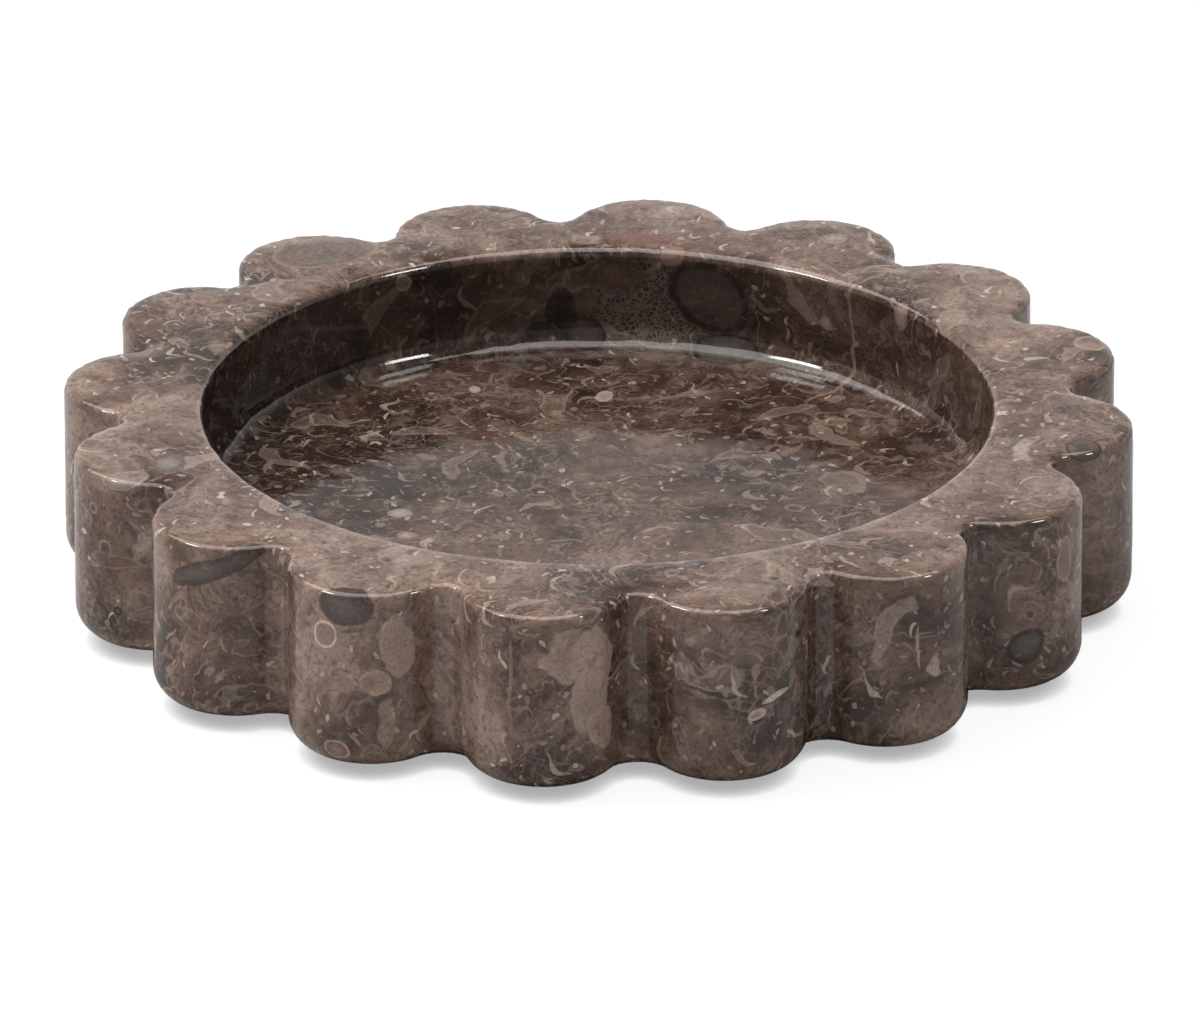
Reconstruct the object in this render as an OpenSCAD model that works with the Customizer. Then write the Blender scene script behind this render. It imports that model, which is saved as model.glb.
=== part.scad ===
// Ring dish: a round dish cut from one block of polished fossil limestone. Its
// outer edge is a ring of full-height rounded lobes with narrow rounded grooves
// between them, and a plain round recess in the top holds rings. It stands on
// thin soft pads stuck under the stone.
// The origin is on the dish's axis, at the surface that the pads stand on.

/* [Stone] */
// Overall diameter, across two opposite lobe tips
dish_d = 90; // [80:1:120]
// Height of the stone, from its underside to its top face
stone_h = 16; // [14:0.5:24]
/* [Scalloped edge] */
// Number of lobes round the edge
lobe_n = 16; // [13:1:20]
// Depth of a groove, from the lobe tips in to its bottom
groove_depth = 5.1; // [4:0.1:6]
// Radius of a groove's rounded bottom, seen from above
groove_r = 1.6; // [1.2:0.1:2.4]
// Radius of the round along the stone's top outer edge
top_round = 0.6; // [0.3:0.1:1.2]
// Radius of the round along the stone's bottom outer edge
bottom_round = 2.6; // [1:0.1:2.8]
/* [Recess] */
// Stone left between the recess and the bottom of a groove
wall_t = 6.9; // [6:0.1:10]
// Stone left under the floor of the recess
floor_t = 7.2; // [4:0.1:9]
// Radius of the round along the recess's rim
rim_round = 0.8; // [0.3:0.1:1.2]
// Radius of the fillet where the recess's wall meets its floor
floor_fillet = 2; // [1:0.1:3]
/* [Pads] */
// Diameter of a pad
pad_d = 10; // [6:0.5:12]
// Thickness of a pad, which lifts the stone off the table
pad_t = 1; // [0.5:0.1:2]
// Radius of the round along a pad's lower edge
pad_round = 0.3; // [0.1:0.05:0.4]
// Clear distance from a pad's edge out to the flat underside's nearest edge
pad_inset = 4; // [2:0.5:12]
/* [Hidden] */
$fn = 96;
// Colours of the stone and of the pads
stone_colour = "#6f5b52";
pad_colour = "#2b2a29";
// Angle between a lobe's middle and its neighbouring groove's middle
half_pitch = 180 / lobe_n;
// Distance from the dish's axis to a lobe's tip
tip_r = dish_d / 2;
// Distance from the dish's axis to the bottom of a groove
groove_bottom_r = tip_r - groove_depth;
// Distance from the dish's axis to the centre of a groove's round
groove_c = groove_bottom_r + groove_r;
// A groove's centre, measured along and across its neighbouring lobe's middle line
groove_along = groove_c * cos(half_pitch);
groove_across = groove_c * sin(half_pitch);
// Radius of a lobe's nose: it touches the tip circle and runs smoothly into both
// of its grooves, so the distance between the two centres is the sum of the radii
lobe_r = (tip_r^2 + groove_c^2 - 2 * tip_r * groove_along - groove_r^2)
       / (2 * (tip_r + groove_r - groove_along));
// Distance from the dish's axis to the centre of a lobe's nose
lobe_c = tip_r - lobe_r;
// Half of the angle through which a groove's round turns
groove_half = atan2(groove_across, groove_along - lobe_c) - half_pitch;
// Radius of the recess's wall, and its depth
recess_r = groove_bottom_r - wall_t;
recess_depth = stone_h - floor_t;
// The fillet is never taller than the wall below the rim's round
wall_fillet = min(floor_fillet, recess_depth - rim_round);
// How far neighbouring masses of stone run into each other
overlap = 0.3;
// How far a lobe's flank reaches past its groove's round, so that the two cross
bite = 0.01;
// Thickness of the band of stone along a groove that carries its rounded edges
band = max(top_round, bottom_round) + overlap;
// Radius of the plain middle of the stone
core_r = recess_r + rim_round + 2 * overlap;
// Radius of the web behind the lobes and grooves
web_r = max(lobe_c, groove_bottom_r - band) + 2 * overlap;
// Radius of the circle that the pads' centres lie on
pad_circle_r = groove_bottom_r - bottom_round - pad_inset - pad_d / 2;
// Number of pads, one for each foot_pad node, and the angle from one to the next
pad_n = 4;
pad_step = 360 / pad_n;

// Which way the corner points that a round takes away, as a turn in the section
OUT_UP = 0;
OUT_DOWN = -90;
IN_UP = 90;

// What a round takes away: its corner, outside a quarter of its circle.
module corner_waste(r, facing) {
    rotate(facing) difference() {
        square(2 * r);
        circle(r);
    }
}

// Upright section of a lobe, from its centre line out to its rounded edges.
module edge_section(reach) {
    difference() {
        square([reach, stone_h]);
        translate([reach - top_round, stone_h - top_round])
            corner_waste(top_round, OUT_UP);
        translate([reach - bottom_round, bottom_round])
            corner_waste(bottom_round, OUT_DOWN);
    }
}

// One lobe: its section turned half round, facing away from the dish's axis.
module lobe(turn) {
    middle = lobe_c - bite;
    translate([middle * cos(turn), middle * sin(turn), 0])
        rotate_extrude(start = turn - 90, angle = 180)
            edge_section(lobe_r + bite);
}

// One groove's lining: the same rounded edge, turned inside out round the
// groove's centre from one lobe to the next.
module groove(turn) {
    reach = band + overlap;
    translate([groove_c * cos(turn), groove_c * sin(turn), 0])
        rotate_extrude(start = turn + 180 - groove_half, angle = 2 * groove_half)
            translate([groove_r + reach, 0])
                mirror([1, 0])
                    edge_section(reach);
}

// Stone between the plain middle and the lobes, cut back round every groove.
module web() {
    linear_extrude(stone_h) difference() {
        circle(web_r);
        circle(core_r - overlap);
        for (i = [0 : lobe_n - 1])
            rotate((2 * i + 1) * half_pitch)
                translate([groove_c, 0])
                    circle(groove_r + band);
    }
}

// Upright section of the recess's hollow, with its fillet at the floor.
module recess_section() {
    difference() {
        translate([0, floor_t])
            square([recess_r, stone_h]);
        translate([recess_r - wall_fillet, floor_t + wall_fillet])
            corner_waste(wall_fillet, OUT_DOWN);
    }
}

// Plain round middle of the stone: the floor, the wall and the rim's round.
module core() {
    rotate_extrude() difference() {
        square([core_r, stone_h]);
        recess_section();
        translate([recess_r + rim_round, stone_h - rim_round])
            corner_waste(rim_round, IN_UP);
    }
}

// The dish itself, one piece of stone standing on the pads.
module stone_dish() {
    color(stone_colour) translate([0, 0, pad_t]) {
        core();
        web();
        for (i = [0 : lobe_n - 1]) {
            lobe(2 * i * half_pitch);
            groove((2 * i + 1) * half_pitch);
        }
    }
}

// One pad under the stone, rounded along its lower edge.
module foot_pad(number) {
    turn = (number - 0.5) * pad_step;
    color(pad_colour)
        translate([pad_circle_r * cos(turn), pad_circle_r * sin(turn), 0])
            rotate_extrude() difference() {
                square([pad_d / 2, pad_t]);
                translate([pad_d / 2 - pad_round, pad_round])
                    corner_waste(pad_round, OUT_DOWN);
            }
}

stone_dish();
foot_pad(1);  // foot_pad_1
foot_pad(2);  // foot_pad_2
foot_pad(3);  // foot_pad_3
foot_pad(4);  // foot_pad_4
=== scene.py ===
# %% [markdown]
# # A scalloped ring dish in polished fossil limestone
#
# The real dish is one block of dark limestone. A turner cuts the round recess, a
# grinder cuts the grooves that leave the lobes standing, and hand polishing rounds
# every edge. Under it sit thin foam pads. This lesson rebuilds how it looks: first
# the camera and the studio, then the stone's shape from a rule, then its finish.
#
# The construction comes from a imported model, which the next cell loads. It gives the
# sizes and places that everything here has to fit.

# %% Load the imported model
import math

import bpy
from mathutils import Euler, Matrix, Vector


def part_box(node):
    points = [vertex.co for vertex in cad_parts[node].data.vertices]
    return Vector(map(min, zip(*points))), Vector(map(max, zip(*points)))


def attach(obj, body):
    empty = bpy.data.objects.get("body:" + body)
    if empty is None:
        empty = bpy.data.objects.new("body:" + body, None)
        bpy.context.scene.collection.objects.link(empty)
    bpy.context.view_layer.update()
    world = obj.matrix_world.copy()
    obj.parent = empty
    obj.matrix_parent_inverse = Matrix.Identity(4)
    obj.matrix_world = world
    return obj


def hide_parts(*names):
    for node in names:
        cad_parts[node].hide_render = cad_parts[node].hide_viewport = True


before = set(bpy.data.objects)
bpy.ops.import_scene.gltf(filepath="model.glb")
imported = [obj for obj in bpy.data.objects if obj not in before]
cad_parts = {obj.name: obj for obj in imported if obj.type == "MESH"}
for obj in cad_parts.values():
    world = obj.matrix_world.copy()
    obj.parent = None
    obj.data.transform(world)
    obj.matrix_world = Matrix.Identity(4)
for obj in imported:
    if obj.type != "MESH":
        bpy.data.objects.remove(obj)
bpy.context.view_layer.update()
MM = 0.001
print("pieces in the packed model:", sorted(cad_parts))

# %% [markdown]
# ## The camera
#
# A product photographer stands well back with a long lens, so that the far lobes look
# nearly as large as the near ones. A short lens close by would make the front lobes
# bulge. The camera looks down on the dish a little, and is aimed so that the dish
# sits in the frame as it does in the photograph.

# %% Camera
PICTURE_WIDTH = 1200
PICTURE_HEIGHT = 1033
SENSOR_WIDTH_MM = 36
CAMERA_TURN = math.radians(6.62)
CAMERA_TILT = math.radians(23.59)
CAMERA_DISTANCE = 1.5
PIXELS_PER_MM = 11.905
STONE_CENTRE_PIXEL = (597.4, 576.7)
CAMERA_CLIP_END = 20

stone_low, stone_high = (Vector(corner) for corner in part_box("stone_dish"))
LIFT = stone_low.z

to_camera = Vector((
    math.sin(CAMERA_TURN) * math.cos(CAMERA_TILT),
    -math.cos(CAMERA_TURN) * math.cos(CAMERA_TILT),
    math.sin(CAMERA_TILT),
))
rightwards = Vector((math.cos(CAMERA_TURN), math.sin(CAMERA_TURN), 0))
upwards = to_camera.cross(rightwards)
aside = (PICTURE_WIDTH / 2 - STONE_CENTRE_PIXEL[0]) / PIXELS_PER_MM * MM
above = (STONE_CENTRE_PIXEL[1] - PICTURE_HEIGHT / 2) / PIXELS_PER_MM * MM
aim = Vector((0, 0, LIFT)) + rightwards * aside + upwards * above

camera_data = bpy.data.cameras.new("Camera")
camera_data.sensor_width = SENSOR_WIDTH_MM
camera_data.lens = PIXELS_PER_MM / MM * CAMERA_DISTANCE * SENSOR_WIDTH_MM / PICTURE_WIDTH
camera_data.clip_end = CAMERA_CLIP_END
camera = bpy.data.objects.new("Camera", camera_data)
bpy.context.collection.objects.link(camera)
facing = Matrix((rightwards, upwards, to_camera)).transposed().to_4x4()
camera.matrix_world = Matrix.Translation(aim + to_camera * CAMERA_DISTANCE) @ facing
bpy.context.scene.camera = camera
bpy.context.scene.view_settings.view_transform = "Standard"
print(f"camera: {camera_data.lens:.0f} mm lens, {CAMERA_DISTANCE} m away")

# %% [markdown]
# ## Calculating with sockets
#
# Both the shape and the finish are built from nodes. Node graphs are mostly sums, and
# sums read best as sums, so one small class wraps a node's socket and lets Python's own
# operators add the Math nodes. Numbers use Math nodes, and vectors use Vector Math
# nodes. Every other node comes from one method, which takes its settings and inputs.

# %% A wrapper for sockets
class Wire:
    """One output of a node. Adding, scaling or comparing it adds the node that does so."""

    def __init__(self, graph, socket):
        self.graph, self.socket = graph, socket

    def __add__(self, other):
        return self.graph.sum("ADD", self, other)

    def __radd__(self, other):
        return self.graph.sum("ADD", other, self)

    def __sub__(self, other):
        return self.graph.sum("SUBTRACT", self, other)

    def __rsub__(self, other):
        return self.graph.sum("SUBTRACT", other, self)

    def __mul__(self, other):
        return self.graph.sum("MULTIPLY", self, other)

    def __rmul__(self, other):
        return self.graph.sum("MULTIPLY", other, self)

    def __truediv__(self, other):
        return self.graph.sum("DIVIDE", self, other)

    def __rtruediv__(self, other):
        return self.graph.sum("DIVIDE", other, self)

    def __abs__(self):
        return self.graph.math("ABSOLUTE", self)

    def __lt__(self, other):
        return self.graph.sum("LESS_THAN", self, other)

    def __gt__(self, other):
        return self.graph.sum("GREATER_THAN", self, other)


class Graph:
    """A node tree, with one method that adds any node and a few that shorten common ones."""

    def __init__(self, tree):
        self.tree = tree

    def add(self, kind, settings=None, inputs=None, out=0):
        """Adds a node, sets it up, feeds its inputs and returns the output or outputs named."""
        node = self.tree.nodes.new(kind)
        for name, value in (settings or {}).items():
            if name == "stops":
                self.set_stops(node.color_ramp, value)
            else:
                setattr(node, name, value)
        for key, value in (inputs or {}).items():
            if isinstance(value, Wire):
                self.tree.links.new(value.socket, node.inputs[key])
            elif value is not None:
                node.inputs[key].default_value = value
        if isinstance(out, tuple):
            return [Wire(self, node.outputs[key]) for key in out]
        return Wire(self, node.outputs[out]) if node.outputs else node

    @staticmethod
    def set_stops(ramp, stops):
        while len(ramp.elements) < len(stops):
            ramp.elements.new(1)
        for element, (position, colour) in zip(ramp.elements, stops):
            element.position = position
            element.color = colour

    @staticmethod
    def is_vector(value):
        if isinstance(value, Wire):
            return value.socket.type in ("VECTOR", "RGBA")
        return isinstance(value, (tuple, Vector))

    def sum(self, operation, first, second):
        """Adds a Math node for numbers, or a Vector Math node where either side is a vector."""
        if not (self.is_vector(first) or self.is_vector(second)):
            return self.math(operation, first, second)
        if operation == "MULTIPLY" and not self.is_vector(first):
            first, second = second, first
        if operation == "DIVIDE" and not self.is_vector(second):
            operation, second = "MULTIPLY", 1 / second
        if operation == "MULTIPLY" and not self.is_vector(second):
            return self.vector("SCALE", first, scale=second)
        return self.vector(operation, first, second)

    def math(self, operation, *values):
        return self.add("ShaderNodeMath", {"operation": operation}, dict(enumerate(values)))

    def vector(self, operation, *values, scale=None, out=0):
        inputs = dict(enumerate(values)) | {"Scale": scale}
        return self.add("ShaderNodeVectorMath", {"operation": operation}, inputs, out)

    def mix(self, share, first, second, blend="MIX"):
        """Mixes two colours: the second shows where share is 1."""
        settings = {"data_type": "RGBA", "blend_type": blend}
        return self.add("ShaderNodeMix", settings, {0: share, 6: first, 7: second}, out=2)

    def as_vector(self, colour):
        """Takes a colour's three parts as a vector."""
        parts = self.add("ShaderNodeSeparateColor", inputs={0: colour}, out=(0, 1, 2))
        return self.add("ShaderNodeCombineXYZ", inputs=dict(enumerate(parts)))

    def fade(self, value, start, end, top=1.0):
        """Goes smoothly from 0 at start to the top value at end."""
        settings = {"interpolation_type": "SMOOTHSTEP"}
        return self.add("ShaderNodeMapRange", settings, {0: value, 1: start, 2: end, 4: top})


def pick(first_share, first, second):
    """The first value where the share is 1, and the second where it is 0."""
    return second + first_share * (first - second)


def new_material(name):
    material = bpy.data.materials.new(name)
    material.use_nodes = True
    material.node_tree.nodes.clear()
    return material, Graph(material.node_tree)


def tone(red, green, blue):
    """A colour given as it looks on a screen, 0 to 255, in the linear values that nodes use."""
    linear = [
        part / 12.92 if part <= 0.04045 else ((part + 0.055) / 1.055) ** 2.4
        for part in (red / 255, green / 255, blue / 255)
    ]
    return (*linear, 1.0)


print("helpers ready")

# %% [markdown]
# ## The studio
#
# The dish stands on a white table that runs out of sight. In a product photograph such
# a table is bleached to pure white, all but a thin dark line of shadow right under the
# object. One plain white floor can't be that and also throw the right light on the
# stone. So the camera sees a darker floor than the stone does, and a glow that only the
# camera sees lifts it to white. Ambient occlusion holds the glow back close to the
# stone, where the shadow is.

# %% Table
FLOOR_HALF_SIDE = 6.0
FLOOR_TONE = (0.80, 0.80, 0.80, 1.0)
NO_LIGHT = (0.0, 0.0, 0.0, 1.0)
FLOOR_SEEN_SHARE = 0.18
FLOOR_MIRRORED_SHARE = 0.60
FLOOR_LIFT_TO_WHITE = 0.91
CONTACT_SHADOW_REACH = 0.0015
CONTACT_SHADOW_SAMPLES = 8

corners = [(x * FLOOR_HALF_SIDE, y * FLOOR_HALF_SIDE, 0) for x, y in ((-1, -1), (1, -1), (1, 1), (-1, 1))]
floor_mesh = bpy.data.meshes.new("floor")
floor_mesh.from_pydata(corners, [], [(0, 1, 2, 3)])
floor = bpy.data.objects.new("floor", floor_mesh)
bpy.context.collection.objects.link(floor)

floor_material, graph = new_material("White table")
seen, mirrored = graph.add("ShaderNodeLightPath", out=("Is Camera Ray", "Is Glossy Ray"))
held_back = mirrored * (1 - FLOOR_MIRRORED_SHARE) + seen * (1 - FLOOR_SEEN_SHARE)
paint = graph.mix(held_back, FLOOR_TONE, NO_LIGHT)
lit = graph.add("ShaderNodeBsdfDiffuse", inputs={"Color": paint})
occlusion = {"samples": CONTACT_SHADOW_SAMPLES}
openness = graph.add("ShaderNodeAmbientOcclusion", occlusion, {"Distance": CONTACT_SHADOW_REACH}, out="AO")
glow = graph.add("ShaderNodeEmission", inputs={"Strength": seen * openness * FLOOR_LIFT_TO_WHITE})
both = graph.add("ShaderNodeAddShader", inputs={0: lit, 1: glow})
graph.add("ShaderNodeOutputMaterial", inputs={"Surface": both})
floor_material.cycles.emission_sampling = "NONE"
floor_mesh.materials.append(floor_material)
print(f"table: {2 * FLOOR_HALF_SIDE:.0f} m square")

# %% [markdown]
# Round the table stands a white surround. The camera sees it at full strength, but as a
# lamp it is dim, so that the shade stays deep in the recess and between the lobes. A
# polished face mirrors it, and what it mirrors depends on where it looks: brightest low
# down behind the dish, less so higher up and towards the camera, and dark overhead.
# That gives the recess's near rim its pale line and keeps the top face from going milky.

# %% Surround
SURROUND_SEEN = 1.0
SURROUND_LIGHT = 0.10
HORIZON_MIRRORED = 1.15
BACKDROP_MIRRORED = 0.62
FRONT_MIRRORED = 0.40
CEILING_MIRRORED = 0.20
HORIZON_FADE = (0.37, 0.28)
FRONT_FADE = (-0.2, 0.5)
CEILING_FADE = (0.41, 0.52)

world = bpy.data.worlds.new("Surround")
bpy.context.scene.world = world
world.use_nodes = True
world.node_tree.nodes.clear()
graph = Graph(world.node_tree)
seen, mirrored = graph.add("ShaderNodeLightPath", out=("Is Camera Ray", "Is Glossy Ray"))
direction = graph.add("ShaderNodeTexCoord", out="Generated")
away, height = graph.add("ShaderNodeSeparateXYZ", inputs={0: direction}, out=("Y", "Z"))
backdrop = pick(graph.fade(height, *HORIZON_FADE), HORIZON_MIRRORED, BACKDROP_MIRRORED)
level = pick(graph.fade(away, *FRONT_FADE), backdrop, FRONT_MIRRORED)
mirrored_strength = pick(graph.fade(height, *CEILING_FADE), CEILING_MIRRORED, level)
strength = pick(seen, SURROUND_SEEN, pick(mirrored, mirrored_strength, SURROUND_LIGHT))
background = graph.add("ShaderNodeBackground", inputs={"Strength": strength})
graph.add("ShaderNodeOutputWorld", inputs={"Surface": background})
print("surround: mirrored from", CEILING_MIRRORED, "overhead to", HORIZON_MIRRORED, "low down")

# %% [markdown]
# Three lamps are enough. Two long softboxes hang high at the left and right, and their
# reflections draw the short bright lines on the recess's rim and round its floor. A
# large dim lamp overhead gives the stone its even light. The right strip is there only
# to be mirrored: it throws no light of its own on the stone, which keeps the recess's
# left wall dark, as in the photograph.

# %% Lamps
STRIP_DISTANCE = 0.9
STRIP_ASIDE, STRIP_UP = 0.62, 0.78
STRIP_LONG_WAY = (0.469, 0.755, -0.458)
STRIP_RADIANCE = 22.0
STRIP_SIZE = (0.157, 0.20)
STRIPS = (
    # side, nearness to the camera, whether it lights the stone, name
    (-1, 0.08, True, "strip_left"),
    (1, 0.19, False, "strip_right"),
)
TOP_LIGHT_PLACE = (-0.25, -0.20, 1.25)
TOP_LIGHT_RADIANCE = 3.55
TOP_LIGHT_SIZE = (1.5, 1.5)
nearwards = rightwards.cross(Vector((0, 0, 1)))


def as_seen(right, near, up):
    """A direction given as the camera sees it: to the right, towards the camera and up."""
    return rightwards * right + nearwards * near + Vector((0, 0, up))


def softbox(name, place, long_way, size, radiance):
    """A rectangular lamp that faces the dish, with its place and the way of its long side."""
    towards = as_seen(*place)
    facing_away = towards.normalized()
    long_side = as_seen(*long_way)
    long_side = (long_side - facing_away * facing_away.dot(long_side)).normalized()
    lamp = bpy.data.lights.new(name, "AREA")
    lamp.shape = "RECTANGLE"
    lamp.size, lamp.size_y = size
    lamp.energy = math.pi * size[0] * size[1] * radiance
    box = bpy.data.objects.new(name, lamp)
    bpy.context.collection.objects.link(box)
    turned = Matrix((long_side.cross(facing_away), long_side, facing_away)).transposed().to_4x4()
    box.matrix_world = Matrix.Translation(towards) @ turned
    return box


for side, nearness, lights_stone, name in STRIPS:
    place = (side * STRIP_ASIDE * STRIP_DISTANCE, nearness * STRIP_DISTANCE, STRIP_UP * STRIP_DISTANCE)
    long_way = (side * STRIP_LONG_WAY[0], *STRIP_LONG_WAY[1:])
    strip = softbox(name, place, long_way, STRIP_SIZE, STRIP_RADIANCE)
    strip.visible_diffuse = lights_stone
softbox("top_light", TOP_LIGHT_PLACE, (0, 1, 0), TOP_LIGHT_SIZE, TOP_LIGHT_RADIANCE)
print("lamps:", len(STRIPS), "strips for the bright lines and one top light")

# %% [markdown]
# ## The stone's shape
#
# The dish's edge follows one rule: lobes of one round nose, joined by narrow round
# grooves, with each arc running smoothly into the next. It could be modelled by hand or
# cut with Booleans, but a rule that is written once gives all the lobes at once, and a
# smooth mesh. So a Geometry Nodes tree makes it. The skin is woven from bands of one
# grid each: one direction of a grid runs round the dish, and the other runs along its
# section, from the middle of the underside, up the side, over the rim and down to the
# middle of the recess's floor. These are the tree's sizes. The first three are measured
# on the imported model.

# %% Sizes of the stone
TIP_RADIUS = (stone_high.x - stone_low.x) / 2
STONE_HEIGHT = stone_high.z - stone_low.z
LOBES = 16
STONE_SIZES = {
    "Tip radius": TIP_RADIUS,
    "Stone height": STONE_HEIGHT,
    "Lift": LIFT,
    "Groove depth": 5.1 * MM,
    "Groove radius": 1.6 * MM,
    "Top round": 0.6 * MM,
    "Bottom round": 2.6 * MM,
    "Wall thickness": 6.9 * MM,
    "Floor thickness": 7.2 * MM,
    "Rim round": 0.8 * MM,
    "Floor fillet": 2.0 * MM,
    "Shoulder width": 2.2 * MM,
    "Shoulder drop": 0.07 * MM,
    "Unevenness": 0.05 * MM,
    "Edge wear": 0.11 * MM,
}
print({name: f"{size / MM:.2f} mm" for name, size in STONE_SIZES.items()})

# %% [markdown]
# The outline is worked out once for every grid. Each lobe's nose and each groove's
# bottom is an arc, and two arcs that touch share a normal where they meet. So the
# angle at which they meet follows from the sizes, as a draughtsman would find it with
# compasses. Each grid point counts its place round the dish and picks its own arc.

# %% The tree's outline
LOBE_STEPS = 28
GROOVE_STEPS = 8
STEPS_PER_LOBE = LOBE_STEPS + GROOVE_STEPS


def scalloped_outline(graph, size, lobes):
    """Fields for each sample round the dish: its point, its outward normal, how far along the
    section it is, and how many samples one ring has."""
    half_pitch = math.pi / lobes
    groove_centre = size["Tip radius"] - size["Groove depth"] + size["Groove radius"]
    along = groove_centre * graph.math("COSINE", half_pitch)
    across = groove_centre * graph.math("SINE", half_pitch)
    tip, groove_radius = size["Tip radius"], size["Groove radius"]
    gap = tip * tip + groove_centre * groove_centre
    gap = gap - 2 * tip * along - groove_radius * groove_radius
    lobe_radius = gap / (2 * (tip + groove_radius - along))
    lobe_centre = tip - lobe_radius
    lobe_half = graph.math("ARCTAN2", across, along - lobe_centre)
    groove_half = lobe_half - half_pitch

    samples = lobes * STEPS_PER_LOBE + 1
    index = graph.add("GeometryNodeInputIndex")
    station = graph.math("FLOOR", (index + 0.5) / samples)
    sample = index - station * samples
    period = graph.math("FLOOR", (sample + 0.5) / STEPS_PER_LOBE)
    step = sample - period * STEPS_PER_LOBE
    on_lobe = step < LOBE_STEPS - 0.5
    middle = (2 * period + (1 - on_lobe)) * half_pitch
    lobe_turn = lobe_half * (step * (2 / LOBE_STEPS) - 1)
    groove_turn = math.pi + groove_half * (1 - (step - LOBE_STEPS) * (2 / GROOVE_STEPS))
    turn = middle + pick(on_lobe, lobe_turn, groove_turn)
    centre = pick(on_lobe, lobe_centre, groove_centre)
    radius = pick(on_lobe, lobe_radius, groove_radius)

    def direction(angle):
        parts = {0: graph.math("COSINE", angle), 1: graph.math("SINE", angle)}
        return graph.add("ShaderNodeCombineXYZ", inputs=parts)

    point = direction(middle) * centre + direction(turn) * radius
    normal = direction(turn) * (2 * on_lobe - 1)
    return point, normal, station, samples


print("outline rule:", LOBES, "lobes of", STEPS_PER_LOBE, "samples")

# %% [markdown]
# The section runs through eleven bands. The flat faces are plain, and the edges are
# quarter rounds. Beside the two upper edges lies a shoulder. Polishing by hand wears
# the last two millimetres of the top away by less than a tenth of a millimetre.
# That can't be seen as a shape, but its reflection slides off the backdrop, and it
# shows as a fine line along the edge. The outer edge is also worn, here more and there
# less, by up to a tenth of a millimetre, so its bright line is stronger in some places
# than in others.

# %% The tree's section
SHOULDER_BOW = 1.5
WEAR_START = 0.9
WEAR_LOWERED = 0.35


def section_bands(graph, size, wear):
    """The bands of the skin. Each has its number of steps and its spacing. From its progress
    t it gives the inset from the outline, the height above the underside, and how far the
    outline has turned into a plain circle and of which radius. The outer edge lies further
    in, and a little lower, where it is worn."""
    height, top, bottom = size["Stone height"], size["Top round"], size["Bottom round"]
    rim, fillet, floor = size["Rim round"], size["Floor fillet"], size["Floor thickness"]
    shoulder, drop = size["Shoulder width"], size["Shoulder drop"]
    edge = height - drop
    recess = size["Tip radius"] - size["Groove depth"] - size["Wall thickness"]

    def rising(t):
        return graph.math("SINE", t * (math.pi / 2))

    def falling(t):
        return 1 - graph.math("COSINE", t * (math.pi / 2))

    def bowed(t):
        return graph.math("POWER", t, SHOULDER_BOW)

    return {
        "underside": (7, "even", lambda t: (bottom, 0.0, 1 - t, 0.0)),
        "bottom edge": (10, "even", lambda t: (
            bottom * (1 - rising(t)), bottom * falling(t), 0.0, 0.0,
        )),
        "side": (10, "eased", lambda t: (
            wear * graph.fade(t, WEAR_START, 1.0), bottom + t * (edge - top - bottom), 0.0, 0.0,
        )),
        "top edge": (7, "even", lambda t: (
            top * falling(t) + wear, edge - top * (1 - rising(t)) - wear * WEAR_LOWERED * t,
            0.0, 0.0,
        )),
        "outer shoulder": (7, "even", lambda t: (
            top + shoulder * t + wear * (1 - t),
            height - (drop + wear * WEAR_LOWERED) * bowed(1 - t), 0.0, 0.0,
        )),
        "top face": (7, "eased", lambda t: (top + shoulder, height, t, recess + rim + shoulder)),
        "inner shoulder": (5, "even", lambda t: (
            0.0, height - drop * bowed(t), 1.0, recess + rim + shoulder * (1 - t),
        )),
        "rim": (8, "even", lambda t: (
            0.0, edge - rim * falling(t), 1.0, recess + rim * (1 - rising(t)),
        )),
        "wall": (8, "eased", lambda t: (
            0.0, edge - rim - t * (edge - rim - floor - fillet), 1.0, recess,
        )),
        "fillet": (9, "even", lambda t: (
            0.0, floor + fillet * (1 - rising(t)), 1.0, recess - fillet * falling(t),
        )),
        "floor": (9, "eased", lambda t: (0.0, floor, 1.0, (recess - fillet) * (1 - t))),
    }


print("section rule ready")

# %% [markdown]
# Each band is a Mesh Grid whose points a Set Position node moves into place. The bands
# meet exactly, so Merge by Distance closes the skin, its seam and its two middles. Hand
# polishing never leaves a face quite true, so a slow noise moves the skin by a few
# hundredths of a millimetre, except at the underside, which sits flat on its pads. The
# plain circles are divided by the inset outline, because lines drawn to them from the
# outline itself would cross at the grooves.

# %% The whole tree
UNEVEN_PATCH = 11 * MM
UNEVEN_SEED = (3.1, 7.7, 1.9)
FLAT_BASE_DEPTH = 3 * MM
MERGE_DISTANCE = 0.002 * MM
NO_SHIFT = (0.5, 0.5, 0.5)
WEAR_PATCH = 4.0 * MM
WEAR_SEED = (5.3, 2.1, 8.4)
WEAR_FADE = (0.42, 0.66)


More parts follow.
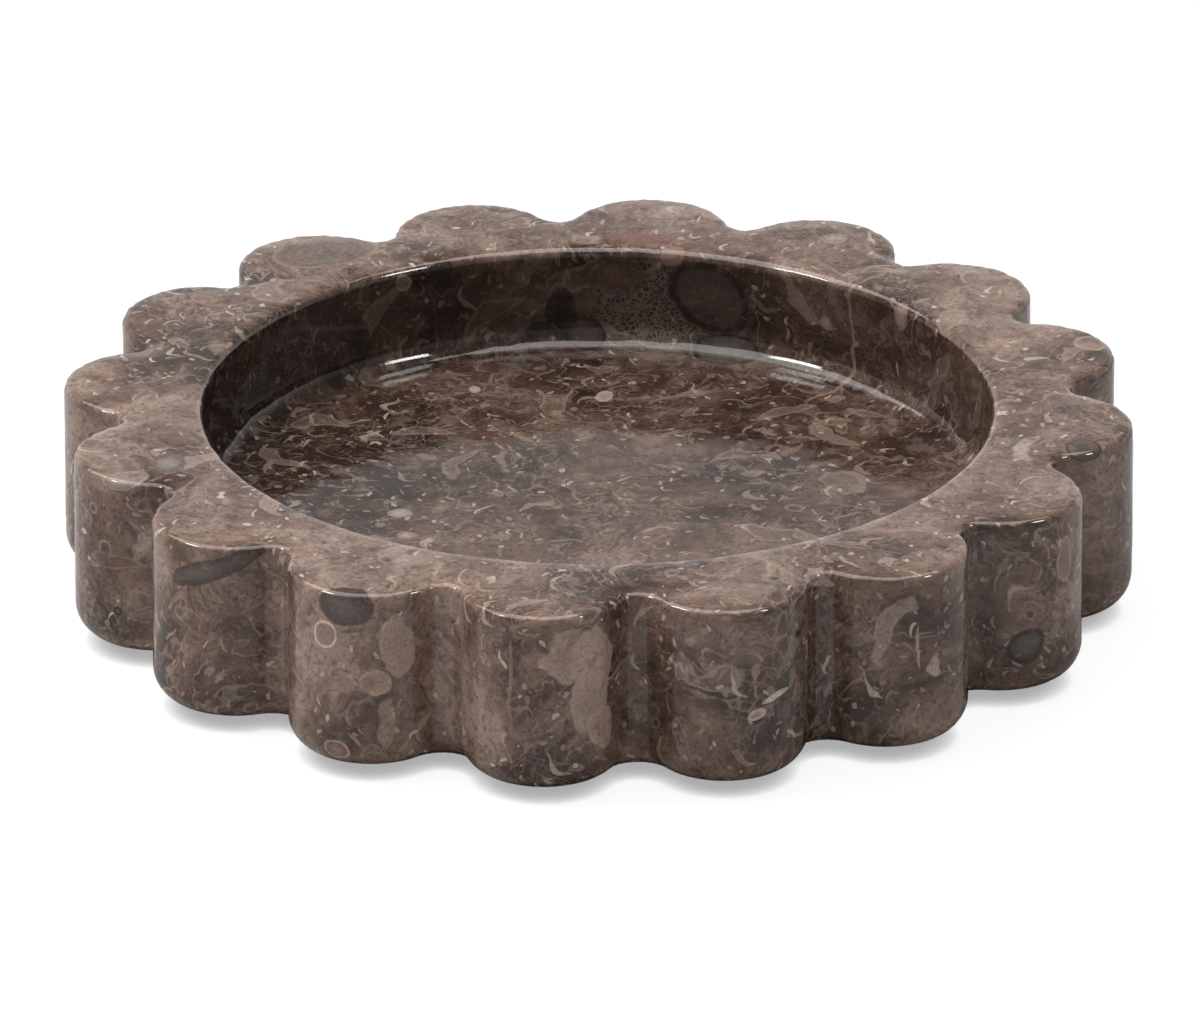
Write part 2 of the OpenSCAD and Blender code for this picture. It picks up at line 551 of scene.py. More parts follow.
def build_stone_tree(material):
    tree = bpy.data.node_groups.new("Scalloped stone", "GeometryNodeTree")
    tree.interface.new_socket("Lobes", in_out="INPUT", socket_type="NodeSocketInt")
    for name in STONE_SIZES:
        tree.interface.new_socket(name, in_out="INPUT", socket_type="NodeSocketFloat")
    tree.interface.new_socket("Geometry", in_out="OUTPUT", socket_type="NodeSocketGeometry")
    graph = Graph(tree)
    names = ("Lobes", *STONE_SIZES)
    size = dict(zip(names, graph.add("NodeGroupInput", out=names)))
    point, normal, station, samples = scalloped_outline(graph, size, size["Lobes"])
    flat_inset = size["Top round"] + size["Shoulder width"]
    outward = graph.vector("NORMALIZE", point - normal * flat_inset)

    patches = {"Vector": point / WEAR_PATCH + WEAR_SEED, "Detail": 1.0}
    worn = graph.add("ShaderNodeTexNoise", inputs=patches)
    wear = graph.fade(worn, *WEAR_FADE) * size["Edge wear"]
    bands = []
    for steps, spacing, section in section_bands(graph, size, wear).values():
        progress = station / (steps - 1)
        if spacing == "eased":
            progress = 0.5 - 0.5 * graph.math("COSINE", progress * math.pi)
        inset, height, roundness, radius = section(progress)
        lobed = point - normal * inset
        level = lobed + roundness * (outward * radius - lobed)
        upright = graph.add("ShaderNodeCombineXYZ", inputs={2: size["Lift"] + height})
        counts = {"Vertices X": steps, "Vertices Y": samples}
        grid = graph.add("GeometryNodeMeshGrid", inputs=counts, out="Mesh")
        placed = {"Geometry": grid, "Position": level + upright}
        bands.append(graph.add("GeometryNodeSetPosition", inputs=placed))
    joined = tree.nodes.new("GeometryNodeJoinGeometry")
    for band in reversed(bands):
        tree.links.new(band.socket, joined.inputs[0])
    closing = {"Geometry": Wire(graph, joined.outputs[0]), "Distance": MERGE_DISTANCE}
    closed = graph.add("GeometryNodeMergeByDistance", inputs=closing)
    outside = graph.add("GeometryNodeFlipFaces", inputs={0: closed})

    place = graph.add("GeometryNodeInputPosition")
    above_base = graph.add("ShaderNodeSeparateXYZ", inputs={0: place}, out="Z") - size["Lift"]
    free = graph.fade(above_base, 0.0, FLAT_BASE_DEPTH)
    patches = {"Vector": place / UNEVEN_PATCH + UNEVEN_SEED, "Detail": 0.0}
    noise = graph.add("ShaderNodeTexNoise", inputs=patches, out=1)
    shake = graph.vector("SUBTRACT", noise, NO_SHIFT) * (free * size["Unevenness"] * 2)
    uneven = graph.add("GeometryNodeSetPosition", inputs={"Geometry": outside, "Offset": shake})
    smooth = graph.add("GeometryNodeSetShadeSmooth", inputs={0: uneven})
    whole = graph.add("GeometryNodeRealizeInstances", inputs={0: smooth})
    coated = {"Geometry": whole, "Material": material}
    finished = graph.add("GeometryNodeSetMaterial", inputs=coated)
    graph.add("NodeGroupOutput", inputs={0: finished})
    return tree


def make_by_tree(name, tree, values):
    """Runs a tree on an empty object and returns the result as a plain mesh piece at the origin."""
    seed = bpy.data.objects.new(name + "_seed", bpy.data.meshes.new(name + "_seed"))
    bpy.context.collection.objects.link(seed)
    modifier = seed.modifiers.new("shape", "NODES")
    modifier.node_group = tree
    for socket in tree.interface.items_tree:
        if socket.in_out == "INPUT":
            modifier[socket.identifier] = values[socket.name]
    depsgraph = bpy.context.evaluated_depsgraph_get()
    mesh = bpy.data.meshes.new_from_object(seed.evaluated_get(depsgraph), depsgraph=depsgraph)
    bpy.data.objects.remove(seed)
    mesh.name = name
    piece = bpy.data.objects.new(name, mesh)
    bpy.context.collection.objects.link(piece)
    return piece


print("tree's rules ready")

# %% [markdown]
# ## The stone's finish
#
# The stone is a seabed turned to rock: brown mud packed with broken shells, worm
# tubes and the stems of sea lilies. Sawing and polishing cuts all of them at random, so
# the pattern has to be solid, that is, worked out in space and only seen where the skin
# passes through. A picture wrapped round the dish would smear at the edges. Each
# layer below is one kind of thing in the mud, and all its sizes are in millimetres.
#
# First comes the mud. It settled in drifts, so a broad noise, read at bent places, runs
# along a ramp of browns. A few large paler and darker patches are listed where this dish
# shows them, and the dark one on the recess's left floor is painted shade.

# %% Mud, with a patch of painted shade
MUD_SIZE = 9.0
MUD_TONES = (
    (0.36, tone(64, 47, 39)), (0.46, tone(100, 77, 65)),
    (0.55, tone(122, 97, 84)), (0.66, tone(154, 129, 115)),
)
DRIFTS_AND_SHADE = (
    # place, reach, and lift: a positive lift makes the mud paler, a negative one darker
    ((-14.0, -38.0, 11.0), 21.0, 0.07),
    # Painted shade on the recess's left floor and the wall above it.
    ((-27.0, 4.0, 8.0), 20.0, -0.22),
    ((-30.0, -33.0, 6.0), 11.0, -0.11),
    ((18.0, -40.0, 9.0), 10.0, -0.05),
    ((44.0, -8.0, 9.0), 14.0, 0.09),
    ((36.0, 22.0, 17.0), 16.0, 0.06),
    ((-5.5, -42.5, 8.0), 6.0, 0.13),
    ((1.5, -45.0, 3.5), 5.5, -0.12),
    ((3.0, -37.5, 18.0), 8.0, -0.10),
    ((-38.0, -6.0, 18.0), 12.0, 0.09),
    ((16.5, -42.0, 6.0), 5.0, -0.10),
)
DRIFT_CORE = 0.25
GRAIN_SIZE = 0.60


def cloud(graph, place, size, detail, roughness=0.55, shift=(0.0, 0.0, 0.0), out=0):
    """A noise whose blots are about that many millimetres across."""
    inputs = {"Vector": place + shift, "Scale": 1 / size, "Detail": detail, "Roughness": roughness}
    return graph.add("ShaderNodeTexNoise", inputs=inputs, out=out)


def swirl(graph, place, size, detail):
    """A noise that pushes places about, up to about half its unit each way."""
    return graph.as_vector(cloud(graph, place, size, detail, out="Color")) - NO_SHIFT


def mud_and_shade(graph, place, flow):
    """The ground colour: dark and pale drifts of mud with a fine grain. One listed patch is painted shade.
    """
    drift = cloud(graph, flow, MUD_SIZE, 4.0, 0.64)
    for where, reach, lift in DRIFTS_AND_SHADE:
        away = graph.vector("DISTANCE", place, where, out="Value")
        drift = drift + graph.fade(away, reach, reach * DRIFT_CORE, lift)
    ground = graph.add("ShaderNodeValToRGB", {"stops": MUD_TONES}, {0: drift})
    grain = cloud(graph, place, GRAIN_SIZE, 3.0, 0.7)
    ground = graph.mix(graph.fade(grain, 0.50, 0.30, 0.60), ground, tone(46, 33, 28))
    return graph.mix(graph.fade(grain, 0.57, 0.75, 0.35), ground, tone(150, 128, 115))


print("mud ready:", len(DRIFTS_AND_SHADE), "drifts set by hand")

# %% [markdown]
# Shade is painted into the recess, so that it is darker than the top, least so in the
# middle towards the front. Its bounds are known, so inside them the colour is
# multiplied by a soft grey: once for the mud alone, and once more when the shells and
# stems lie on it, so that they darken less than the mud does.

# %% Painted shade in the recess
RECESS_SIDE_FADE = (33.9, 33.2)
RECESS_TOP_FADE = (16.9, 16.2)
RECESS_SHADE_TONE = (0.70, 0.68, 0.67, 1.0)
RECESS_SHADE_LEAST_PLACE = (4.0, -18.0, 8.0)
RECESS_SHADE_LEAST_SHARE = 0.45
RECESS_SHADE_FADE = (6.0, 30.0)


def paint_recess_shade(graph, place, below):
    """Paints shade into a colour inside the recess, a little less so towards its front."""
    height = graph.add("ShaderNodeSeparateXYZ", inputs={0: place}, out="Z")
    from_axis = graph.vector("LENGTH", place * (1.0, 1.0, 0.0), out="Value")
    inside = graph.fade(from_axis, *RECESS_SIDE_FADE) * graph.fade(height, *RECESS_TOP_FADE)
    from_front = graph.vector("DISTANCE", place, RECESS_SHADE_LEAST_PLACE, out="Value")
    share = inside * graph.fade(from_front, *RECESS_SHADE_FADE, 1 - RECESS_SHADE_LEAST_SHARE)
    share = share + inside * RECESS_SHADE_LEAST_SHARE
    return graph.mix(share, below, RECESS_SHADE_TONE, "MULTIPLY")


print("recess's darker stone ready")

# %% [markdown]
# Thin curling threads run through the mud: worm tracks and seams of lime. A noise
# is above a set level in one place and below it in the next, and the border
# between the two is just such a thread. Each kind keeps to drifts of its own.

# %% Wisps
WISP_DRIFT_SIZE = 7.0
THREADS = (
    # size, shift, drift that it keeps to, half width, strength, colour
    (2.8, (7.0, 1.0, 3.0), 0, 0.034, 0.55, tone(158, 134, 120)),
    (1.3, (2.0, 6.0, 1.0), 1, 0.055, 0.35, tone(146, 126, 114)),
    (4.2, (1.0, 9.0, 5.0), 2, 0.020, 0.50, tone(136, 126, 120)),
    (2.2, (5.0, 4.0, 8.0), 0, 0.040, 0.35, tone(56, 43, 37)),
    (5.5, (8.0, 3.0, 2.0), 1, 0.020, 0.40, tone(50, 39, 34)),
)


def wisps(graph, flow, below):
    """Thin curling threads, where a noise crosses a set level, in drifts of their own."""
    drifts = cloud(graph, flow, WISP_DRIFT_SIZE, 1.0, 0.5, (3.0, 9.0, 1.0), out="Color")
    drifts = graph.add("ShaderNodeSeparateColor", inputs={0: drifts}, out=(0, 1, 2))
    for size, shift, drift, width, strength, colour in THREADS:
        level = cloud(graph, flow, size, 1.0, 0.5, shift)
        thread = graph.fade(abs(level - 0.5), width, width * 0.3, strength)
        below = graph.mix(thread * graph.fade(drifts[drift], 0.44, 0.58), below, colour)
    return below


print("wisps ready:", len(THREADS), "kinds of thread")

# %% [markdown]
# Broken shells lie in the mud like coins in a jar. A Voronoi texture cuts space into
# cells, and each cell gets one thin curved plate. It faces its own way, so the
# same plates show as thin bars, curls or ovals, depending on how the skin cuts them.

# %% Broken shells
SHELL_LAYERS = (
    # cell, radius, thickness, bend, shift, rarest lot shown, body strength, rim strength
    (8.0, 0.42, 0.100, 0.8, (3.0, 1.0, 7.0), 0.50, 0.65, 0.80),
    (3.3, 0.44, 0.075, 1.1, (8.0, 5.0, 2.0), 0.42, 0.80, 0.70),
    (1.6, 0.42, 0.090, 1.0, (1.0, 4.0, 9.0), 0.58, 0.85, 0.00),
    (0.9, 0.36, 0.200, 0.3, (6.0, 2.0, 4.0), 0.66, 0.85, 0.00),
)
SHELL_TONES = (
    (0.0, tone(46, 35, 30)), (0.34, tone(68, 53, 45)), (0.44, tone(100, 84, 76)),
    (0.68, tone(130, 108, 95)), (0.88, tone(156, 135, 121)), (1.0, tone(200, 184, 170)),
)
SHELL_RIM_TONE = tone(166, 146, 133)


def cells(graph, place, cell, shift, out):
    """Cuts space into cells of about that size. Gives the scaled place and what is asked for."""
    scaled = place / cell + shift
    voronoi = {"Vector": scaled, "Scale": 1.0}
    return scaled, graph.add("ShaderNodeTexVoronoi", inputs=voronoi, out=out)


def lots(graph, middle):
    """A random number and a random colour for each cell, from its middle."""
    return graph.add("ShaderNodeTexWhiteNoise", inputs={"Vector": middle}, out=("Value", "Color"))


def plates(graph, place, cell, radius, thickness, bend, shift):
    """One curved plate in each cell. Gives the distance from its middle, which is 1 at its
    skin, and two random numbers that say whether it is there and what colour it has."""
    scaled, middle = cells(graph, place, cell, shift, "Position")
    lot, turn = lots(graph, middle)
    reach = scaled - middle
    facing = graph.vector("NORMALIZE", graph.as_vector(turn) - NO_SHIFT)
    across = graph.vector("DOT_PRODUCT", reach, facing, out="Value")
    along = graph.vector("DOT_PRODUCT", reach, reach, out="Value") - across * across
    bent = (across - along * bend) / thickness
    distance = graph.math("SQRT", bent * bent + along / (radius * radius))
    hue = graph.add("ShaderNodeSeparateColor", inputs={0: turn}, out=0)
    return distance, lot, hue


def shells(graph, place, below):
    """Shell pieces of four sizes, the finest on top. The larger ones have a pale rim."""
    for cell, radius, thickness, bend, shift, least, body_strength, rim_strength in SHELL_LAYERS:
        distance, lot, hue = plates(graph, place, cell, radius, thickness, bend, shift)
        body = graph.add("ShaderNodeValToRGB", {"stops": SHELL_TONES}, {0: hue})
        if rim_strength:
            edge = graph.fade(abs(distance - 0.84), 0.16, 0.06, rim_strength)
            body = graph.mix(edge, body, SHELL_RIM_TONE)
        share = graph.fade(distance, 1.08, 0.90, body_strength) * (lot > least)
        below = graph.mix(share, below, body)
    return below


print("shells ready:", len(SHELL_LAYERS), "sizes")

# %% [markdown]
# Sea lily stems and small snail shells are tubes, so a cut through them is a ring: a
# dark middle with a pale wall. The same cells do for them, with a ball in each.

# %% Stems
STEM_CELL = 5.5
STEM_RADIUS = 0.15
STEM_SHIFT = (2.0, 8.0, 5.0)
STEM_RAREST_LOT = 0.55
STEM_WALL_TONE, STEM_BODY_TONE, STEM_HEART_TONE = tone(142, 121, 109), tone(98, 78, 68), tone(54, 40, 35)


def stems(graph, place, below):
    """Small rings, scattered one to a cell."""
    _, (distance, middle) = cells(graph, place, STEM_CELL, STEM_SHIFT, ("Distance", "Position"))
    lot, hue = lots(graph, middle)
    hue = graph.add("ShaderNodeSeparateColor", inputs={0: hue}, out=1)
    distance = distance / (STEM_RADIUS * (0.5 + 0.5 * hue))
    ring = graph.mix(graph.fade(distance, 0.5, 0.2), STEM_BODY_TONE, STEM_HEART_TONE)
    ring = graph.mix(graph.fade(abs(distance - 0.85), 0.2, 0.1), ring, STEM_WALL_TONE)
    return graph.mix(graph.fade(distance, 1.06, 0.94, 0.85) * (lot > STEM_RAREST_LOT), below, ring)


print("stems ready")

# %% [markdown]
# ## The large fossils
#
# The photograph shows some forms one by one, such as a big dark nodule in the recess's
# back wall and a pale shell on the front lobe. Each is an ellipsoid in the block, with
# its own place, tilt and radii. One node group draws them all: it stretches space
# until the ellipsoid is a ball of radius 1, and then only has to measure a distance.

# %% Fossil group
GROWTH_LINE_TURNS = 38.0


def build_fossil_group():
    tree = bpy.data.node_groups.new("Fossil", "ShaderNodeTree")
    for name, kind in (
        ("Below", "Color"), ("Place", "Vector"), ("Stretch", "Vector"), ("Shift", "Vector"),
        ("Body", "Color"), ("Heart", "Color"), ("Rim", "Color"),
        ("Rim width", "Float"), ("Growth lines", "Float"), ("Share", "Float"),
    ):
        tree.interface.new_socket(name, in_out="INPUT", socket_type="NodeSocket" + kind)
    tree.interface.new_socket("Color", in_out="OUTPUT", socket_type="NodeSocketColor")
    graph = Graph(tree)
    names = [item.name for item in tree.interface.items_tree if item.in_out == "INPUT"]
    given = dict(zip(names, graph.add("NodeGroupInput", out=tuple(names))))
    ball = graph.vector("MULTIPLY_ADD", given["Place"], given["Stretch"], given["Shift"])
    distance = graph.vector("LENGTH", ball, out="Value")
    body = graph.fade(distance, 1.06, 0.94, given["Share"])
    colour = graph.mix(body, given["Below"], given["Body"])
    colour = graph.mix(graph.fade(distance, 0.9, 0.2, given["Share"]), colour, given["Heart"])
    near_skin = abs(distance - (1 - given["Rim width"]))
    edge = graph.fade(near_skin, given["Rim width"], given["Rim width"] * 0.3, given["Share"])
    lines = 0.5 + 0.5 * graph.math("SINE", distance * GROWTH_LINE_TURNS)
    growth = lines * given["Growth lines"] * (distance < 1.0)
    edge = graph.math("MAXIMUM", growth, edge * (given["Rim width"] > 0.001))
    graph.add("NodeGroupOutput", inputs={0: graph.mix(edge, colour, given["Rim"])})
    return tree


print("fossil group ready")

# %% [markdown]
# The list holds the large fossils that the photograph shows, in the recess, in the top
# face and in the outer lobes. A level one lies square to the dish, and the others are
# tilted. A wavy one is read at strongly bent places, which breaks up its outline as in
# the pale shell on the front lobe. The few tones are shared, so that they stay in tune.

# %% Fossils one by one
BLACK, DARK, DULL = tone(40, 31, 28), tone(64, 52, 46), tone(84, 73, 65)
MUD, PALE, PALER, BONE = tone(100, 80, 69), tone(138, 116, 103), tone(166, 145, 131), tone(204, 184, 168)
ROSY, RUSTY, SANDY = tone(148, 118, 104), tone(116, 78, 65), tone(170, 144, 127)
SLATE, GREY, PALE_GREY = tone(68, 59, 52), tone(98, 88, 83), tone(136, 126, 120)
TILTS = {
    "level": (0, 0, 0), "wavy": (0, 0, 0),
    "falling": (0, 28, 0), "rising": (0, -24, 0), "askew": (0, 0, 33),
}
FOSSILS = (
    # place, tilt, radii, body, heart, rim, rim width, growth lines, share
    # In the recess's wall and floor
    ((6.4, 33.2, 13.1), "falling", (4.5, 2.6, 3.3), SLATE, DULL, BLACK, 0.12, 0.0, 0.92),
    ((7.8, 31.8, 8.4), "level", (3.5, 2.2, 1.7), SLATE, GREY, BLACK, 0.10, 0.0, 0.85),
    ((-7.0, 32.8, 11.0), "level", (1.5, 1.6, 2.6), BLACK, BLACK, DARK, 0.0, 0.0, 0.85),
    ((-8.9, 32.2, 9.4), "level", (1.2, 1.2, 1.1), BLACK, BLACK, DARK, 0.0, 0.0, 0.75),
    ((-4.8, 32.8, 9.0), "level", (1.9, 1.8, 1.7), DARK, DULL, BLACK, 0.10, 0.0, 0.85),
    ((-2.4, 33.3, 14.6), "level", (2.9, 1.5, 1.9), DARK, RUSTY, BLACK, 0.0, 0.0, 0.60),
    ((-23.2, 23.6, 11.2), "level", (1.1, 1.1, 2.4), BLACK, BLACK, DARK, 0.0, 0.0, 0.80),
    ((-24.8, 20.8, 8.9), "level", (1.0, 1.0, 1.3), BLACK, BLACK, DARK, 0.0, 0.0, 0.80),
    ((-26.9, 19.1, 12.1), "level", (0.6, 0.6, 0.6), MUD, BLACK, PALE, 0.22, 0.0, 0.80),
    ((-19.7, 26.5, 15.7), "level", (0.8, 0.8, 0.8), PALE, ROSY, PALER, 0.20, 0.0, 0.95),
    ((-20.7, 25.0, 8.8), "level", (0.6, 0.6, 0.6), PALE, PALER, PALER, 0.0, 0.0, 0.90),
    ((16.3, 28.7, 12.8), "level", (0.6, 0.6, 0.6), ROSY, PALER, PALE, 0.0, 0.0, 0.95),
    ((23.2, 23.7, 15.9), "level", (0.9, 0.9, 1.3), ROSY, PALER, PALE, 0.15, 0.0, 0.95),
    ((25.2, 21.7, 15.6), "level", (1.0, 1.0, 1.1), DARK, MUD, BLACK, 0.15, 0.0, 0.85),
    ((-16.0, -5.0, 8.2), "level", (1.1, 0.9, 0.7), PALE_GREY, PALER, PALE, 0.0, 0.0, 0.85),
    ((-15.0, -9.6, 8.2), "level", (0.9, 0.8, 0.7), PALE, PALER, PALE, 0.0, 0.0, 0.85),
    ((-13.0, 21.8, 8.2), "level", (0.5, 0.8, 0.5), PALER, PALER, PALE, 0.0, 0.0, 0.85),
    ((-1.9, 21.6, 8.2), "level", (0.8, 1.2, 0.6), PALER, PALE, PALE, 0.0, 0.0, 0.85),
    # In the top face
    ((-0.4, 35.4, 17.2), "level", (2.9, 1.7, 1.2), RUSTY, RUSTY, MUD, 0.0, 0.0, 0.60),
    ((2.6, 33.6, 16.2), "level", (1.4, 1.0, 0.9), ROSY, PALER, PALE, 0.0, 0.0, 0.80),
    ((-26.8, 29.6, 17.2), "askew", (5.0, 3.3, 1.8), MUD, GREY, PALE, 0.06, 0.30, 0.85),
    ((16.0, 37.4, 17.0), "level", (1.2, 1.2, 0.7), PALE, PALER, PALE_GREY, 0.15, 0.0, 0.85),
    ((39.8, 17.3, 17.1), "level", (1.6, 1.7, 0.6), ROSY, PALE, PALER, 0.12, 0.0, 0.75),
    ((-33.9, -16.9, 17.1), "level", (1.4, 2.1, 0.8), GREY, PALE_GREY, MUD, 0.16, 0.0, 0.85),
    ((-37.4, -20.6, 16.9), "askew", (2.6, 1.5, 0.7), PALE_GREY, PALER, PALER, 0.12, 0.15, 0.70),
    ((41.3, -5.2, 17.1), "level", (1.6, 2.0, 1.0), GREY, DULL, DARK, 0.10, 0.15, 0.75),
    # In the outer lobes, from left to right
    ((-38.1, -20.6, 9.6), "level", (4.2, 1.5, 0.7), MUD, RUSTY, PALE, 0.16, 0.0, 0.65),
    ((-37.6, -21.1, 5.2), "level", (0.5, 0.5, 0.5), DARK, MUD, BLACK, 0.30, 0.0, 0.90),
    ((-28.3, -33.2, 14.7), "rising", (5.4, 1.5, 1.0), DARK, GREY, BLACK, 0.0, 0.0, 0.85),
    ((-15.9, -41.8, 15.9), "level", (2.5, 1.6, 1.7), DARK, GREY, BLACK, 0.0, 0.0, 0.85),
    ((-17.5, -41.3, 13.1), "level", (1.35, 1.0, 1.35), ROSY, PALE, BONE, 0.13, 0.0, 0.95),
    ((-16.0, -42.0, 8.8), "level", (0.9, 1.0, 0.8), ROSY, PALE, PALE, 0.0, 0.0, 0.90),
    ((-11.4, -41.4, 12.4), "wavy", (1.5, 1.4, 2.9), SANDY, PALE, PALER, 0.0, 0.15, 0.65),
    ((-13.5, -42.0, 9.1), "wavy", (1.5, 1.2, 1.3), SANDY, ROSY, PALER, 0.12, 0.15, 0.80),
    ((-12.3, -42.0, 5.4), "wavy", (1.1, 1.2, 2.2), SANDY, PALE, PALER, 0.0, 0.10, 0.45),
    ((-16.7, -41.5, 2.9), "level", (1.2, 1.2, 0.95), MUD, ROSY, PALER, 0.14, 0.0, 0.85),
    ((2.6, -44.2, 13.6), "wavy", (2.8, 1.5, 2.5), SANDY, PALE, DULL, 0.0, 0.0, 0.72),
    ((4.9, -43.3, 12.4), "wavy", (2.3, 1.6, 3.6), SANDY, SANDY, DULL, 0.0, 0.0, 0.72),
    ((4.4, -43.4, 9.0), "wavy", (1.9, 1.6, 3.0), SANDY, PALE, PALER, 0.0, 0.12, 0.72),
    ((5.4, -42.6, 6.4), "wavy", (1.8, 1.4, 1.7), SANDY, ROSY, PALER, 0.10, 0.15, 0.85),
    ((-1.9, -44.7, 10.6), "level", (0.18, 0.8, 4.4), PALE, PALE, PALE, 0.0, 0.0, 0.50),
    ((-0.2, -44.9, 10.4), "level", (0.45, 0.45, 0.5), MUD, MUD, BLACK, 0.30, 0.0, 0.90),
    ((19.4, -40.2, 9.0), "rising", (1.8, 1.2, 0.30), BONE, BONE, PALE, 0.0, 0.0, 0.95),
    ((17.9, -41.2, 7.6), "rising", (0.85, 1.0, 0.45), BONE, PALE, PALE, 0.0, 0.0, 0.90),
    ((20.2, -39.2, 7.2), "level", (1.1, 0.9, 1.0), DARK, GREY, BLACK, 0.0, 0.0, 0.75),
    ((30.3, -33.0, 10.6), "level", (0.13, 0.5, 2.0), PALER, PALER, PALE, 0.0, 0.0, 0.75),
    ((38.2, -20.8, 5.8), "rising", (1.9, 1.3, 1.5), DARK, GREY, BLACK, 0.14, 0.0, 0.85),
    ((41.0, -18.3, 12.6), "level", (1.1, 1.0, 2.1), ROSY, MUD, PALER, 0.12, 0.30, 0.65),
)
print("fossils placed one by one:", len(FOSSILS))

# %% [markdown]
# Two things in the recess's back wall aren't balls. One is a patch of coral, a net of
# pale walls round small dark cells, for which a Voronoi texture measures the distance to
# a cell's edge. The other is a hairline crack that lime has healed: a thin slab, bent a
# little by the same noise as the rest.

# %% Net and vein
NET_PLACE = (0.2, 33.0, 11.5)
NET_RADII = (4.6, 3.0, 4.6)
NET_CELLS_PER_MM = 2.3
NET_CELL_TONE, NET_WALL_TONE = tone(56, 44, 40), tone(142, 127, 119)
VEIN_PLACE = (19.0, 27.6, 13.0)
VEIN_FACING = (0.77, -0.64, 0.06)
VEIN_HALF_WIDTH = 0.15
VEIN_END_FADE = (9.0, 6.5)
VEIN_TONE = tone(146, 122, 108)


def net(graph, place, below):
    """A patch of coral: pale walls between small dark cells."""
    voronoi = {"Vector": place, "Scale": NET_CELLS_PER_MM}
    edge = graph.add("ShaderNodeTexVoronoi", {"feature": "DISTANCE_TO_EDGE"}, voronoi, out="Distance")
    stretch = tuple(1 / radius for radius in NET_RADII)
    reach = graph.vector("LENGTH", (place - NET_PLACE) * stretch, out="Value")
    walls = graph.mix(graph.fade(edge, 0.20, 0.05), NET_CELL_TONE, NET_WALL_TONE)
    return graph.mix(graph.fade(reach, 1.2, 0.8, 0.8), below, walls)


def vein(graph, place, wobble, below):
    """A hairline crack through the block that calcite has healed."""
    reach = place - VEIN_PLACE
    off = graph.vector("DOT_PRODUCT", reach, Vector(VEIN_FACING).normalized(), out="Value")
    line = graph.fade(abs(off + wobble), VEIN_HALF_WIDTH * 1.4, VEIN_HALF_WIDTH * 0.6, 0.8)
    near = graph.fade(graph.vector("LENGTH", reach, out="Value"), *VEIN_END_FADE)
    return graph.mix(line * near, below, VEIN_TONE)


print("net and vein ready")

# %% [markdown]
# Now the layers are laid one over the other, from the mud up, as they would be found
# when cutting. Nothing in the seabed lies straight, so most layers are read at bent
# places: a little for rings and fossils, more for shells, and most for the mud. Blots and
# a fine dust go over everything, because the grain of the lime runs through the fossils
# too. The polish is high, and a trace of relief keeps it from looking like glass.

# %% Stone finish
STIR_SIZE, STREAM_SIZE = 3.4, 13.0
BENT, STIRRED, FLOWING, STREAMING = 0.9, 2.4, 4.0, 12.0
BLOT_SIZE, DUST_SIZE = 2.2, 0.30
VEIN_WOBBLE = 2.0
OVERLAYS = (
    # noise, level where it starts, level where it is full, strength, colour
    ("blot", 0.48, 0.30, 0.35, tone(48, 35, 30)),
    ("blot", 0.54, 0.70, 0.25, tone(150, 128, 115)),
    ("dust", 0.52, 0.30, 0.35, tone(44, 32, 28)),
    ("dust", 0.60, 0.75, 0.25, tone(164, 146, 133)),
)
POLISH_ROUGHNESS, DUST_ROUGHNESS = 0.05, 0.06
RELIEF_STRENGTH, RELIEF_DEPTH = 0.2, 0.02 * MM

stone_material, graph = new_material("Fossil limestone")
place = graph.add("ShaderNodeTexCoord", out="Object") / MM
stir = swirl(graph, place, STIR_SIZE, 2.0)
bent = place + stir * BENT
stirred = place + stir * STIRRED
flow = place + stir * FLOWING + swirl(graph, place, STREAM_SIZE, 0.0) * STREAMING
blot = cloud(graph, stirred, BLOT_SIZE, 3.0, 0.6, (4.0, 1.0, 6.0))
# Painted shade in the recess, multiplied over the mud.
colour = paint_recess_shade(graph, place, mud_and_shade(graph, place, flow))
colour = net(graph, bent, colour)
colour = wisps(graph, flow, colour)
colour = shells(graph, stirred, colour)
colour = stems(graph, bent, colour)
# Painted shade in the recess once more, over the shells and stems.
colour = paint_recess_shade(graph, place, colour)

fossil_group = build_fossil_group()
tilted = {"level": bent, "wavy": stirred} | {
    name: graph.add("ShaderNodeMapping", {"vector_type": "TEXTURE"}, {
        "Vector": bent, "Rotation": tuple(map(math.radians, turn)),
    })
    for name, turn in TILTS.items() if any(turn)
}
for where, tilt, radii, body, heart, rim, rim_width, growth, share in FOSSILS:
    turn = Euler(tuple(map(math.radians, TILTS[tilt]))).to_matrix()
    centre = turn.inverted() @ Vector(where)
    stretch = Vector(tuple(1 / radius for radius in radii))
    colour = graph.add("ShaderNodeGroup", {"node_tree": fossil_group}, {
        "Below": colour, "Place": tilted[tilt], "Stretch": stretch, "Shift": -centre * stretch,
        "Body": body, "Heart": heart, "Rim": rim, "Rim width": rim_width,
        "Growth lines": growth, "Share": share,
    })

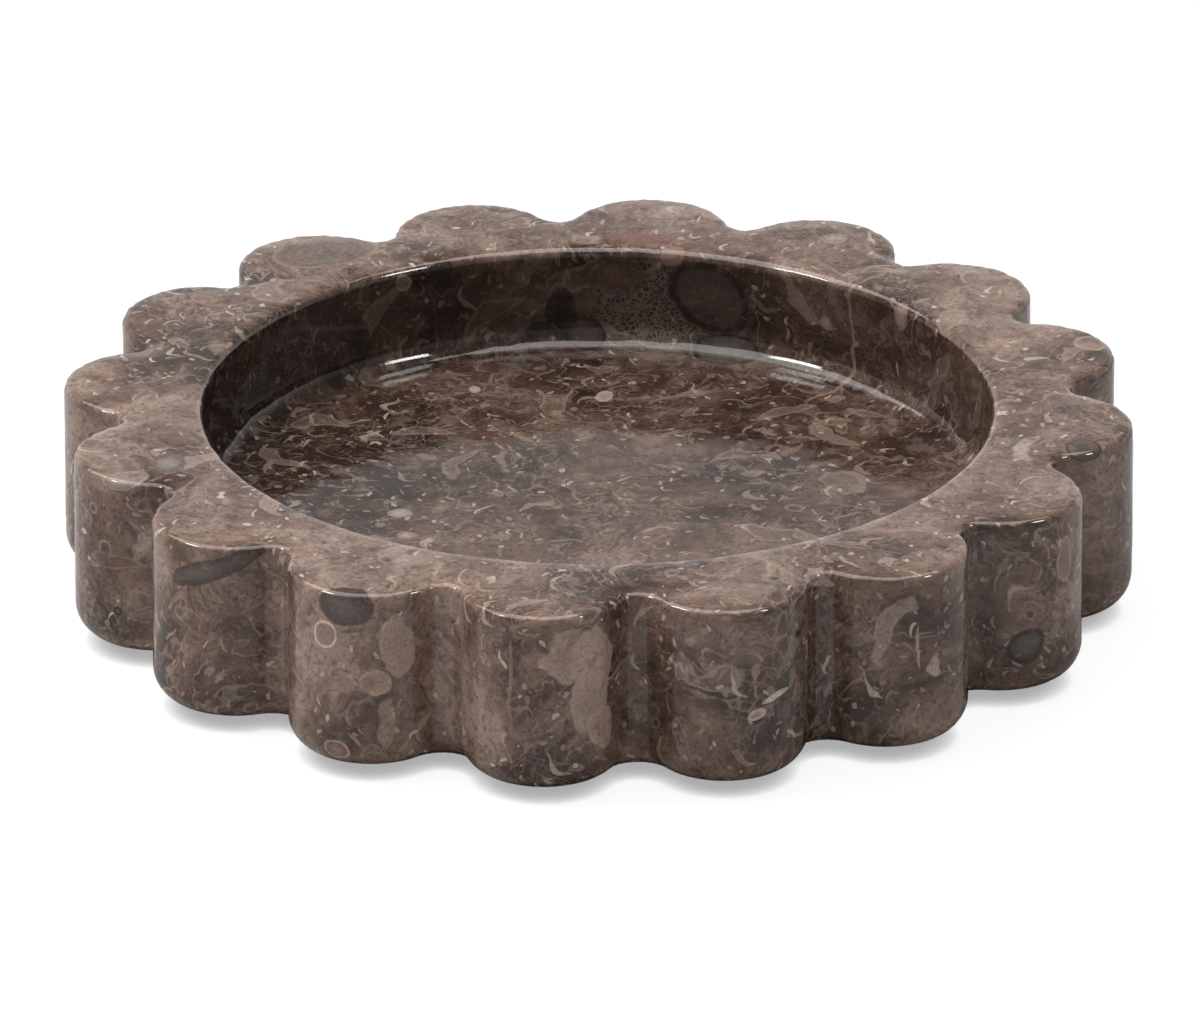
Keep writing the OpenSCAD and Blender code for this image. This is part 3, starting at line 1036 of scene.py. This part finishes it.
wobble = graph.add("ShaderNodeSeparateXYZ", inputs={0: stir}, out=0) * VEIN_WOBBLE
colour = vein(graph, place, wobble, colour)
noises = {"blot": blot, "dust": cloud(graph, place, DUST_SIZE, 2.0, 0.6, (5.0, 5.0, 5.0))}
for noise, start, full, strength, overlay in OVERLAYS:
    colour = graph.mix(graph.fade(noises[noise], start, full, strength), colour, overlay)
polish = POLISH_ROUGHNESS + graph.fade(noises["dust"], 0.45, 0.65, DUST_ROUGHNESS)
relief = graph.add("ShaderNodeBump", inputs={
    "Strength": RELIEF_STRENGTH, "Distance": RELIEF_DEPTH, "Height": noises["dust"],
})
shell_inputs = {"Base Color": colour, "Roughness": polish, "Normal": relief}
shell = graph.add("ShaderNodeBsdfPrincipled", inputs=shell_inputs)
graph.add("ShaderNodeOutputMaterial", inputs={"Surface": shell})
print("stone finish:", len(graph.tree.nodes), "nodes")

# %% [markdown]
# Last, the tree is run once with this dish's sizes. The result is a plain mesh, which
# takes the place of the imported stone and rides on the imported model's one body.

# %% The stone itself
stone = make_by_tree("stone", build_stone_tree(stone_material), {"Lobes": LOBES, **STONE_SIZES})
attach(stone, "root")
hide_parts("stone_dish")
print("stone:", len(stone.data.polygons), "faces,", len(stone.data.vertices), "points")

# %% [markdown]
# ## The pads
#
# The pads are die-cut discs of dense black foam, stuck under the stone. The packed
# model's own discs have the right shape, so they stay and only get a finish.

# %% Pad finish
FOAM_CELLS_PER_MM = 4.0
FOAM_DARK, FOAM_PALE = tone(22, 22, 22), tone(48, 47, 46)
FOAM_ROUGHNESS = 0.85
DENT_STRENGTH, DENT_DEPTH = 0.4, 0.1 * MM

pad_material, graph = new_material("Black foam")
place = graph.add("ShaderNodeTexCoord", out="Object") / MM
voronoi = {"Vector": place, "Scale": FOAM_CELLS_PER_MM}
bubbles = graph.add("ShaderNodeTexVoronoi", inputs=voronoi, out="Distance")
colour = graph.mix(bubbles, FOAM_DARK, FOAM_PALE)
dents = graph.add("ShaderNodeBump", inputs={
    "Strength": DENT_STRENGTH, "Distance": DENT_DEPTH, "Height": bubbles,
})
foam_inputs = {"Base Color": colour, "Roughness": FOAM_ROUGHNESS, "Normal": dents}
foam = graph.add("ShaderNodeBsdfPrincipled", inputs=foam_inputs)
graph.add("ShaderNodeOutputMaterial", inputs={"Surface": foam})
for name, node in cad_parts.items():
    if name.startswith("foot_pad"):
        node.material_slots[0].material = pad_material
print("pads finished")
